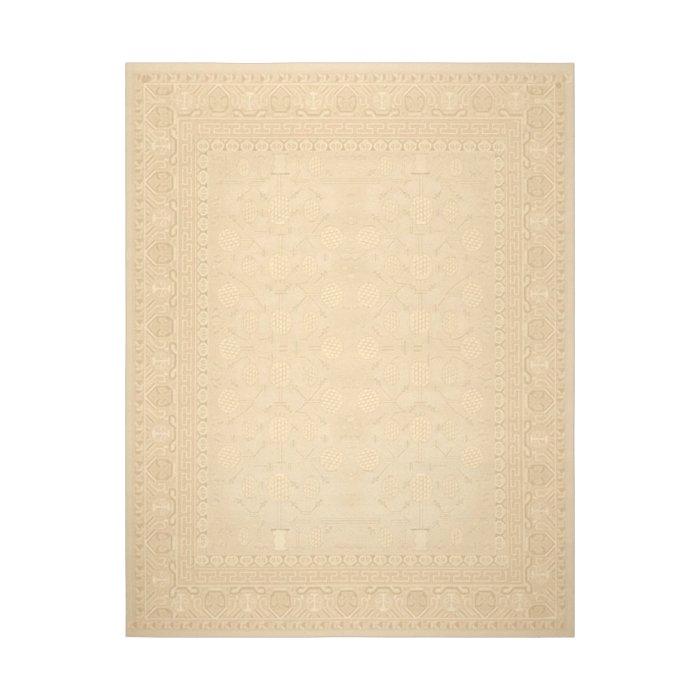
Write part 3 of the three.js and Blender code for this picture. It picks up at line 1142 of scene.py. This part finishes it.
# Clipped wool pile: a matt, close nap of hand-spun yarn ends. It shows every knot as a soft
# grain, its dyes run a little from batch to batch, and it has the faint sheen of worn wool.
pileWool = {
    "ground": (  # the wool of each band from the edge in, and how uneven its knots are
        ("edge", "e9decb", 0.06),
        ("plain", "e7d3b5", 0.05),
        ("outerGuard", "e5cdaa", 0.085),
        ("guardLine", "e8d0ae", 0.085),
        ("mainBorder", "e7ceaa", 0.085),
        ("fret", "e6cca8", 0.085),
        ("innerGuard", "ebd4b0", 0.085),
        ("fieldLine", "e9d3b0", 0.085),
        ("field", "ecd7b5", 0.075),
    ),
    "marks": {
        "mist": "ecdabb",
        "sage": "eedcbd",
        "blush": "e6d1ad",
        "tan": "dfc69e",
        "pale": "ecd8b7",
        "peach": "f1dcb8",
        "rose": "ead6b5",
        "leaf": "e3d1af",
        "dark": "d1b890",
        "light": "f8e6c7",
    },
    "softness": {  # squares, and edgeSoftness for all others
        "mist": 6.0, "sage": 1.4, "blush": 6.0, "peach": 0.5, "rose": 0.6, "leaf": 0.45,
    },
    "finer": {"dark": 0.12},  # squares that a line is finer than it is charted
    "straggle": {"sage": 5, "blush": 8, "rose": 5, "leaf": 3},  # times ragged
    "ragged": 0.32,  # squares
    "edgeSoftness": 0.28,  # squares
    "abrash": 0.03,
    "lots": {"size": 0.7692, "detail": 5, "roughness": 0.68, "flat": False},
    "lotStretch": (0.5, 6.0, 1.0),  # the lots lie across the rug, about 1.5 m by 0.13 m
    "lotRange": (0.3, 0.7),
    "grain": 0.04,
    "dyeTint": 0.035,
    "handfuls": {"size": 0.07143, "detail": 3, "roughness": 0.6},
    "shadeTint": (0.88, 1.0, 1.26),  # what is paler is greyer as well
    # how strongly the painted shading darkens or lightens the pile
    "paintedShading": 0.24,
    "nap": {"metres": 0.0005, "strength": 0.6},
    "surface": {
        "Roughness": 0.93,
        "IOR": 1.54,
        "Specular IOR Level": 0.25,
        "Sheen Weight": 0.18,
        "Sheen Roughness": 0.6,
    },
}


def makePileWool():
    material, tree = newMaterial("clippedWoolPile")
    place = addNode(tree, "ShaderNodeTexCoord").outputs["Object"]
    grain = noise(tree, place, size=knotWidth, detail=1).outputs["Fac"]
    ragged = compute(tree, "MULTIPLY_ADD", grain, 2 * pileWool["ragged"], -pileWool["ragged"])
    ramp = bandRamp(tree, pileWool["ground"], ragged)
    colour = ramp.outputs["Color"]

    # The marks: a mark's wool lies where the distance to it, with its ragged edge, is below 0
    for wool in woolOrder:
        softness = pileWool["softness"].get(wool, pileWool["edgeSoftness"])
        finer = pileWool["finer"].get(wool, 0)
        straggle = pileWool["straggle"].get(wool, 1)
        gap = compute(tree, "MULTIPLY_ADD", ragged, straggle, attribute(tree, wool + "Gap"))
        inside = remap(tree, gap, fromRange=(softness - finer, -softness - finer))
        share = compute(tree, "MULTIPLY", inside, attribute(tree, wool + "Tone"))
        colour = blend(tree, share, colour, linearColour(pileWool["marks"][wool]))

    # Abrash: dye lots that change in soft bands across the warps
    stretched = addNode(tree, "ShaderNodeMapping", None, {
        "Vector": place, "Scale": pileWool["lotStretch"],
    })
    lots = noise(tree, stretched.outputs[0], **pileWool["lots"])
    abrash = pileWool["abrash"]
    lotShift = remap(tree, lots.outputs["Fac"], pileWool["lotRange"], (-abrash, abrash))

    # Each knot takes the dye a little differently, and so does each handful of yarn
    counted = computeVector(tree, "MULTIPLY", place, (1 / knotWidth, 1 / knotPitch, 0))
    knotNoise = addNode(tree, "ShaderNodeTexWhiteNoise", {"noise_dimensions": "2D"}, {
        "Vector": computeVector(tree, "FLOOR", counted),
    })
    knotShift = compute(tree, "MULTIPLY_ADD", knotNoise.outputs["Value"], 2.0, -1.0)
    shift = compute(tree, "MULTIPLY_ADD", knotShift, ramp.outputs["Alpha"], lotShift)
    grainShift = compute(tree, "MULTIPLY_ADD", grain, 2 * pileWool["grain"], -pileWool["grain"])
    shift = compute(tree, "ADD", shift, grainShift)
    # Painted shading: the lamp's falloff, painted into the pile's colour
    shift = compute(tree, "MULTIPLY_ADD", attribute(tree, "paintedShading"), -pileWool["paintedShading"], shift)
    shade = computeVector(tree, "MULTIPLY_ADD", shift, pileWool["shadeTint"], (1, 1, 1))
    tint = noise(tree, place, **pileWool["handfuls"])
    spread = [2 * pileWool["dyeTint"]] * 3
    least = [1 - pileWool["dyeTint"]] * 3
    tinted = computeVector(tree, "MULTIPLY_ADD", tint.outputs["Color"], spread, least)
    colour = computeVector(tree, "MULTIPLY", colour, tinted)
    colour = computeVector(tree, "MULTIPLY", colour, shade)

    nap = addNode(tree, "ShaderNodeTexVoronoi", {"voronoi_dimensions": "2D"}, {
        "Vector": place, "Scale": 1 / knotPitch,
    })
    bump = relief(tree, nap.outputs["Distance"], **pileWool["nap"], invert=True)
    finishCloth(tree, colour, bump, pileWool)
    return material


def meshPiece(name, points, faces, material, smooth=True):
    # A mesh object from its points and its faces, which are arrays of equal-sided faces
    mesh = bpy.data.meshes.new(name)
    corners = np.concatenate([group.ravel() for group in faces])
    counts = np.concatenate([np.full(len(group), group.shape[1]) for group in faces])
    mesh.vertices.add(len(points))
    mesh.vertices.foreach_set("co", np.asarray(points, np.float32).ravel())
    mesh.loops.add(len(corners))
    mesh.loops.foreach_set("vertex_index", corners.astype(np.int32))
    mesh.polygons.add(len(counts))
    starts = np.concatenate([[0], np.cumsum(counts)[:-1]])
    mesh.polygons.foreach_set("loop_start", starts.astype(np.int32))
    smoothFaces = np.zeros(len(counts), bool)
    smoothFaces[:len(faces[0])] = smooth
    mesh.polygons.foreach_set("use_smooth", smoothFaces)
    mesh.update()
    mesh.validate()
    mesh.materials.append(material)
    piece = bpy.data.objects.new(name, mesh)
    bpy.context.scene.collection.objects.link(piece)
    return piece


def gridRim(rows, columns):
    # The points round a grid, counter-clockwise from above
    index = np.arange(rows * columns).reshape(rows, columns)
    return np.concatenate([index[0, :-1], index[:-1, -1], index[-1, :0:-1], index[:0:-1, 0]])


# Shares of a slab's map: the grid fills nearly all of it, and the hidden flat face has a corner
mapShares = {"grid": 0.985, "flatStart": 0.99, "flat": 0.008}


def slab(name, grid, closeAt, material):
    # A closed slab: the grid is one face, and the other is flat at the height closeAt
    rows, columns = grid.shape[:2]
    index = np.arange(rows * columns).reshape(rows, columns)
    quads = np.stack([index[:-1, :-1], index[:-1, 1:], index[1:, 1:], index[1:, :-1]], -1)
    rim = gridRim(rows, columns)
    upper = grid.reshape(-1, 3)[rim]
    lower = upper.copy()
    lower[:, 2] = closeAt
    points = np.concatenate([grid.reshape(-1, 3), upper, lower])  # the walls keep their own normals
    upper = rows * columns + np.arange(len(rim))
    lower = upper + len(rim)
    walls = np.stack([upper, lower, np.roll(lower, -1), np.roll(upper, -1)], -1)
    faces = [quads.reshape(-1, 4), walls, lower[::-1][None, :]]
    if closeAt > grid[..., 2].min():
        faces = [group[:, ::-1] for group in faces]
    piece = meshPiece(name, points, faces, material)

    # The map is the slab seen from above
    low = grid.reshape(-1, 3)[:, :2].min(0)
    span = np.ptp(grid.reshape(-1, 3)[:, :2], axis=0)
    flatMap = (points[:, :2] - low) / span * mapShares["grid"]
    uv = flatMap[np.concatenate([group.ravel() for group in faces])]
    uv[-len(rim):] = mapShares["flatStart"] + uv[-len(rim):] * mapShares["flat"]
    layer = piece.data.uv_layers.new(name="OFBake")
    layer.data.foreach_set("uv", uv.astype(np.float32).ravel())
    return piece


pileMaterial = makePileWool()
random = np.random.default_rng(pile["seed"])
planAcross, planAlong = np.meshgrid(acrossLines, alongLines)
pileX, pileY = onRug(planAcross, planAlong)
pileZ = pileHeight(planAcross, planAlong) + random.uniform(-1, 1, planAcross.shape) * pile["unevenness"]
pileGrid = np.stack([pileX, pileY, pileZ], -1)


def setValues(piece, name, values):
    # One value for each point of a piece
    layer = piece.data.attributes.new(name, "FLOAT", "POINT")
    layer.data.foreach_set("value", values.astype(np.float32))


def setSlabValues(piece, name, values):
    # One value for each point of a slab's grid, which its walls repeat
    flat = values.ravel()
    rim = gridRim(*values.shape)
    setValues(piece, name, np.concatenate([flat, flat[rim], flat[rim]]))


def tubeFaces(rings, count, first=0):
    # The faces of a tube from rings of points, counted from first, and the caps at its ends
    index = first + np.arange(rings * count).reshape(rings, count)
    beside = np.roll(index, -1, axis=1)
    quads = np.stack([index[:-1], beside[:-1], beside[1:], index[1:]], -1).reshape(-1, 4)
    return [quads, index[0][::-1][None, :], index[-1][None, :]]


def lineNearest(lines, place):
    return int(np.argmin(np.abs(lines - place)))


cutPlaces = {"left": 195.4, "right": 505.9, "far": 137.8, "near": 567.4}  # inside the fret
leftCut = lineNearest(lineX, cutPlaces["left"])
rightCut = lineNearest(lineX, cutPlaces["right"])
farCut = lineNearest(lineY, cutPlaces["far"])
nearCut = lineNearest(lineY, cutPlaces["near"])
third = (rightCut - leftCut) // 3
lastColumn = len(acrossLines) - 1
lastRow = len(alongLines) - 1
pilePieces = {  # first and last row, first and last column
    "pileBorderNear": (0, nearCut, 0, lastColumn),
    "pileBorderFar": (farCut, lastRow, 0, lastColumn),
    "pileBorderLeft": (nearCut, farCut, 0, leftCut),
    "pileBorderRight": (nearCut, farCut, rightCut, lastColumn),
    "pileFieldLeft": (nearCut, farCut, leftCut, leftCut + third),
    "pileFieldMiddle": (nearCut, farCut, leftCut + third, rightCut - third),
    "pileFieldRight": (nearCut, farCut, rightCut - third, rightCut),
}
maps = {"band": band}
for wool in woolOrder:
    maps[wool + "Gap"] = marks[wool][0]
    maps[wool + "Tone"] = marks[wool][1]

# Painted shading that stands in for the lamp's falloff: the corners and the left side are painted
# darker, most of all at the near end, and the far end and the middle are painted lighter.
# Above 0 is darker. Rows and columns are squares of the chart.
paintedShading = {
    "corners": {"sideways": 2.5, "near": 1.5, "far": 4, "farShare": 0.5},
    "farEnd": {"paler": 0.47, "rows": (150, 65), "rightLess": 0.35, "columns": (430, 500)},
    "nearRight": {"paler": 0.08, "rows": (450, 490), "columns": (525, 550)},
    "leftSide": {"darker": 0.1, "columns": (138, 134)},
    "places": (  # how much darker, its middle, its half widths, and how square its ends are
        (0.15, (160, 270), (55, 120), 4),
        (0.12, (375, 562), (95, 40), 2),
        (-0.06, (330, 350), (90, 110), 2),
        (-0.17, (345, 350), (85, np.inf), 2),
        (-0.12, (350, 420), (np.inf, 60), 2),
    ),
}


def risingOver(values, ends):
    # 0 at the first end and before it, 1 at the other and beyond
    return np.clip((values - ends[0]) / (ends[1] - ends[0]), 0, 1)


def paintedShadingMap():
    corners = paintedShading["corners"]
    farEnd = paintedShading["farEnd"]
    nearRight = paintedShading["nearRight"]
    leftSide = paintedShading["leftSide"]
    sideways = np.abs(chartX - chartMiddle[0]) / edgeX
    downward = (chartY - chartMiddle[1]) / edgeY
    near = np.clip(downward, 0, 1) ** corners["near"]
    far = corners["farShare"] * np.clip(-downward, 0, 1) ** corners["far"]
    darker = sideways ** corners["sideways"] * (near + far)
    rightLess = 1 - farEnd["rightLess"] * risingOver(chartX, farEnd["columns"])
    darker -= farEnd["paler"] * risingOver(chartY, farEnd["rows"]) ** 2 * rightLess
    inRows = risingOver(chartY, nearRight["rows"])
    darker -= nearRight["paler"] * risingOver(chartX, nearRight["columns"]) * inRows
    darker += leftSide["darker"] * risingOver(chartX, leftSide["columns"])
    for tone, middle, half, power in paintedShading["places"]:
        across = ((chartX - middle[0]) / half[0]) ** 2
        along = ((chartY - middle[1]) / half[1]) ** power
        darker += tone * np.exp(-across - along)
    return darker


# The painted shading goes to the pile as a map of its own
maps["paintedShading"] = paintedShadingMap()

for name, (firstRow, endRow, firstColumn, endColumn) in pilePieces.items():
    part = np.s_[firstRow:endRow + 1, firstColumn:endColumn + 1]
    piece = slab(name, pileGrid[part], rug["foundation"] - pile["sunk"], pileMaterial)
    for mapName, values in maps.items():
        setSlabValues(piece, mapName, values[part])
    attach(piece, "root")
    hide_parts("knotted_panel")

# Cotton foundation: warps and wefts beaten into a firm, flat, greyish cream cloth. Its back
# shows the knots' loops in rows, in the colours of the bands.
cotton = {
    "web": "f6efe0",
    "shadow": "ded5c0",
    "warpPitch": 0.0027,
    "unevenness": 0.6,
    # painted shade: lighter beside the pile, darker out at the rim
    "paintedRimShade": (1.08, 0.68),  # from the pile out to the rim
    "threads": {"metres": 0.0005, "strength": 0.8},
    "surface": {"Roughness": 0.9, "IOR": 1.53, "Specular IOR Level": 0.25},
}


def paintedRimShade(tree, shades):
    # Painted shade at the rug's rim: how much lighter or darker a place is painted, by how far out it
    # lies
    return remap(tree, attribute(tree, "outer"), toRange=shades)


def makeCotton(name, banded):
    material, tree = newMaterial(name)
    place = addNode(tree, "ShaderNodeTexCoord").outputs["Object"]
    warps = threads(tree, place, "X", cotton["warpPitch"], cotton["unevenness"])
    wefts = threads(tree, place, "Y", cotton["warpPitch"], cotton["unevenness"])
    woven = compute(tree, "MULTIPLY", warps, wefts)
    colour = linearColour(cotton["web"])
    if banded:
        colour = bandRamp(tree, pileWool["ground"], 0.0).outputs["Color"]
    colour = blend(tree, woven, linearColour(cotton["shadow"]), colour)
    # Painted shade: the web is painted darker out toward its rim
    colour = shadedBy(tree, colour, paintedRimShade(tree, cotton["paintedRimShade"]))
    finishCloth(tree, colour, relief(tree, woven, **cotton["threads"]), cotton)
    return material


underside = {"linesAcross": 24, "linesAlong": 32, "leastStep": 0.001}


def bandedLines(low, high, halfRug, halfPile, evenLines):
    # Lines at every band's start on two facing sides, and even ones between
    lowStarts = [-halfRug + d * square for d in bandStarts[low][1:-1]]
    highStarts = [halfRug - d * square for d in bandStarts[high][1:-1]]
    between = np.linspace(lowStarts[-1], highStarts[-1], evenLines)[1:-1]
    lines = np.sort(np.concatenate([lowStarts, highStarts, between]))
    lines = lines[np.abs(lines) < halfPile - underside["leastStep"]]
    return np.concatenate([[-halfPile], lines, [halfPile]])


underAcross = bandedLines(
    "left", "right", rug["width"] / 2, panelWidth / 2, underside["linesAcross"],
)
underAlong = bandedLines(
    "bottom", "top", rug["length"] / 2, pileLength / 2, underside["linesAlong"],
)
underX, underY = np.meshgrid(underAcross, underAlong)
underDepths = tellDepths(chartMiddle[0] + underX / square, chartMiddle[1] - underY / square)
underGrid = np.stack([*onRug(underX, underY), np.zeros(underX.shape)], -1)
backCotton = makeCotton("knottedCottonBack", True)
foundation = slab("knottedFoundation", underGrid, rug["foundation"], backCotton)
setSlabValues(foundation, "band", np.min(underDepths, axis=0))
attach(foundation, "root")
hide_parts("knotted_panel")

# The woven ends: a narrow strip of weft ribs past the pile
web = {"columns": 320, "ribs": 3, "stepsPerRib": 3, "ribHeight": 0.0005, "weaveShare": 0.4}
webCotton = makeCotton("wovenCottonEnd", False)
for name, end in (("webEndNear", -1), ("webEndFar", 1)):
    steps = web["ribs"] * web["stepsPerRib"]
    across = np.linspace(-panelWidth / 2, panelWidth / 2, web["columns"])
    inward = np.linspace(0, rug["webDepth"] + rug["webStep"], steps + 1)
    along = end * (rug["length"] / 2 - inward)
    if end > 0:
        along = along[::-1]
    planX, planY = np.meshgrid(across, along)
    turn = np.pi * web["ribs"] * (rug["length"] / 2 - np.abs(planY)) / inward[-1]
    weave = 0.5 + 0.5 * np.cos(np.pi * np.arange(web["columns"]))[None, :]
    rise = np.abs(np.sin(turn)) * (1 - web["weaveShare"] + web["weaveShare"] * weave)
    height = rug["foundation"] - web["ribHeight"] * (1 - rise)
    grid = np.stack([*onRug(planX, planY), height], -1)
    piece = slab(name, grid, 0.0, webCotton)
    setSlabValues(piece, "outer", 1 - (rug["length"] / 2 - np.abs(planY)) / inward[-1])
    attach(piece, "root")
    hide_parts("knotted_panel")

# Overcast selvedge: the edge warps wrapped round and round with wool yarn, which gives a firm
# ribbed cord, a little greyer than the pile because handling soils it.
selvedge = {
    "wrapPitch": 0.0048,
    "wrapHeight": 0.0004,
    "sides": 9,
    "yarn": "ece4d4",
    # painted shade in the grooves between the wraps
    "paintedGrooveShade": "cfc4af",
    # painted shade: lighter on the cord's inner side, darker toward its outer edge
    "paintedRimShade": (1.3, 0.6),  # from its inner side to its outer side
    "unevenness": 1.0,
    "patches": {"size": 0.1111, "detail": 3, "flat": False},  # more and less soiled ones
    "patchShade": (0.85, 1.12),
    "wraps": {"metres": 0.0004, "strength": 0.7},
    "shoulder": 0.45,  # share of its height at which its arch starts
    "footShare": 0.12,  # how far in its foot stands on each side
    "surface": {
        "Roughness": 0.9, "IOR": 1.54, "Specular IOR Level": 0.25, "Sheen Weight": 0.15,
    },
}


def makeSelvedgeWool():
    material, tree = newMaterial("overcastSelvedgeWool")
    place = addNode(tree, "ShaderNodeTexCoord").outputs["Object"]
    wraps = threads(tree, place, "Y", selvedge["wrapPitch"], selvedge["unevenness"])
    patches = noise(tree, place, **selvedge["patches"]).outputs["Fac"]
    # Painted shade: the grooves between the wraps are painted darker
    paintedGrooveShade = linearColour(selvedge["paintedGrooveShade"])
    colour = blend(tree, wraps, paintedGrooveShade, linearColour(selvedge["yarn"]))
    colour = shadedBy(tree, colour, remap(tree, patches, toRange=selvedge["patchShade"]))
    # Painted shade: the cord is painted lighter on its inner side and darker toward its outer edge
    colour = shadedBy(tree, colour, paintedRimShade(tree, selvedge["paintedRimShade"]))
    finishCloth(tree, colour, relief(tree, wraps, **selvedge["wraps"]), selvedge)
    return material


selvedgeWool = makeSelvedgeWool()
for name, side, node in (
    ("overcastLeft", -1, "selvedge_left"),
    ("overcastRight", 1, "selvedge_right"),
):
    rings = 2 * round(rug["length"] / selvedge["wrapPitch"]) + 1
    along = np.linspace(-rug["length"] / 2, rug["length"] / 2, rings)
    swell = np.where(np.arange(rings) % 2 == 0, -selvedge["wrapHeight"], 0)
    turn = np.linspace(0, np.pi, selvedge["sides"] - 1)
    arch = 0.5 - 0.5 * np.cos(turn)
    rise = selvedge["shoulder"] + (1 - selvedge["shoulder"]) * np.sin(turn)
    outward = np.concatenate([[selvedge["footShare"]], arch, [1 - selvedge["footShare"]]]) - 0.5
    height = np.concatenate([[0], rise, [0]])
    ringOut = outward[None, :] * (rug["selvedgeWidth"] + 2 * swell[:, None])
    ringUp = height[None, :] * (rug["selvedgeHeight"] + swell[:, None])
    planX = side * (panelWidth / 2 + rug["fittingGap"] + rug["selvedgeWidth"] / 2 + ringOut)
    planY = np.broadcast_to(along[:, None], planX.shape)
    points = np.stack([*onRug(planX, planY), ringUp], -1).reshape(-1, 3)
    faces = tubeFaces(rings, selvedge["sides"] + 1)
    if side < 0:
        faces = [group[:, ::-1] for group in faces]
    piece = meshPiece(name, points, faces, selvedgeWool)
    setValues(piece, "outer", np.tile(outward + 0.5, rings))
    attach(piece, "root")
    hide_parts(node)

# Warp ends that slipped out of the near web beside its right corner: soiled cotton, twisted
# from a few plies, that lies on the floor as short dark tails
warpEnds = {
    "places": (528.7, 531.7, 534.3, 538.7),  # squares along the near edge
    "strands": 3,
    "apart": 0.0016,
    "radius": 0.0009,
    "reach": 0.006,
    "inside": 0.003,
    "sway": 0.0012,  # sideways at its tip
    "shorter": 0.2,  # share that a strand falls short, on average
    "swayTurns": (2.3, 1.7),  # radians from end to end, and from strand to strand
    "reachTurns": (1.9, 2.6),
    "lift": 0.0014,  # at the web, above the floor
    "taper": 0.45,
    "stations": (0, 0.3, 0.55, 0.8, 1),  # shares of its length
    "sides": 6,
    "colour": "85786a",
    "twistPitch": 0.0012,
    "twist": {"metres": 0.0002, "strength": 0.6},
    "surface": {"Roughness": 0.92},
}
warpMaterial, tree = newMaterial("soiledWarpCotton")
place = addNode(tree, "ShaderNodeTexCoord").outputs["Object"]
twist = threads(tree, place, "DIAGONAL", warpEnds["twistPitch"], 0)
bump = relief(tree, twist, **warpEnds["twist"])
finishCloth(tree, linearColour(warpEnds["colour"]), bump, warpEnds)

tailPoints = []
tailFaces = []
aroundTail = np.linspace(0, 2 * np.pi, warpEnds["sides"], endpoint=False)
for number, place in enumerate(warpEnds["places"]):
    for strand in range(warpEnds["strands"]):
        aside = (strand - 1) * warpEnds["apart"]
        swayTurn = np.dot(warpEnds["swayTurns"], (number, strand))
        reachTurn = np.dot(warpEnds["reachTurns"], (number, strand))
        sway = warpEnds["sway"] * np.sin(swayTurn)
        reach = warpEnds["reach"] * (1 - warpEnds["shorter"] * (1 - np.cos(reachTurn)))
        tailFaces.append(tubeFaces(len(warpEnds["stations"]), warpEnds["sides"], len(tailPoints)))
        for share in warpEnds["stations"]:
            planX = (place - chartMiddle[0]) * square + aside + sway * share ** 2
            edge = onRug(planX, -rug["length"] / 2)[1]
            tailY = edge + warpEnds["inside"] - share * (warpEnds["inside"] + reach)
            radius = warpEnds["radius"] * (1 - warpEnds["taper"] * share)
            height = radius + warpEnds["lift"] * (1 - share) ** 2
            for turn in aroundTail:
                x = planX + radius * np.cos(turn)
                tailPoints.append((x, tailY, height + radius * np.sin(turn)))
faces = [np.concatenate(group) for group in zip(*tailFaces)]
warpTails = meshPiece("warpTails", tailPoints, faces, warpMaterial, smooth=False)
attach(warpTails, "root")
print("selvedges and ends made")

# The floor, the light and the camera
studio = {
    "floor": "fbfaf8",
    "floorGlow": 0.35,  # as a floor that more lamps light
    "floorHalf": 7,
    "floorLevel": -0.0003,
    "lampHeight": 3.2,
    "lampPlace": (-0.8, 0.7),
    "lampSize": 0.8,
    "lampPower": 19,
    "sky": 0.84,
    "lens": 85,
    "sensor": 36,
    "frameSquares": 700,
}
floorMaterial, tree = newMaterial("paleStudioFloor")
floorShader = addNode(tree, "ShaderNodeBsdfPrincipled", None, {
    "Base Color": linearColour(studio["floor"]), "Roughness": 0.9, "Specular IOR Level": 0.1,
    "Emission Color": (1, 1, 1, 1), "Emission Strength": studio["floorGlow"],
})
addNode(tree, "ShaderNodeOutputMaterial", None, {"Surface": floorShader.outputs[0]})
half = studio["floorHalf"]
floorPoints = [(x, y, studio["floorLevel"]) for x, y in (
    (-half, -half), (half, -half), (half, half), (-half, half),
)]
floor = meshPiece("studioFloor", floorPoints, [np.array([[0, 1, 2, 3]])], floorMaterial)

world = bpy.data.worlds.new("studioSky")
bpy.context.scene.world = world
world.use_nodes = True
world.node_tree.nodes["Background"].inputs["Color"].default_value = (1, 1, 1, 1)
world.node_tree.nodes["Background"].inputs["Strength"].default_value = studio["sky"]

lamp = bpy.data.lights.new("softLamp", "AREA")
lamp.shape = "DISK"
lamp.size = studio["lampSize"]
lamp.energy = studio["lampPower"]
lampObject = bpy.data.objects.new("softLamp", lamp)
lampObject.location = (*studio["lampPlace"], studio["lampHeight"])
bpy.context.scene.collection.objects.link(lampObject)

camera = bpy.data.cameras.new("camera")
camera.lens = studio["lens"]
camera.sensor_width = studio["sensor"]
cameraObject = bpy.data.objects.new("camera", camera)
frameWidth = studio["frameSquares"] * square
cameraObject.location = (0, 0, frameWidth * studio["lens"] / studio["sensor"] + rug["thickness"])
bpy.context.scene.collection.objects.link(cameraObject)
bpy.context.scene.camera = cameraObject
bpy.context.scene.view_settings.view_transform = "Standard"
print("floor, lamp and camera set")

bpy.context.view_layer.update()
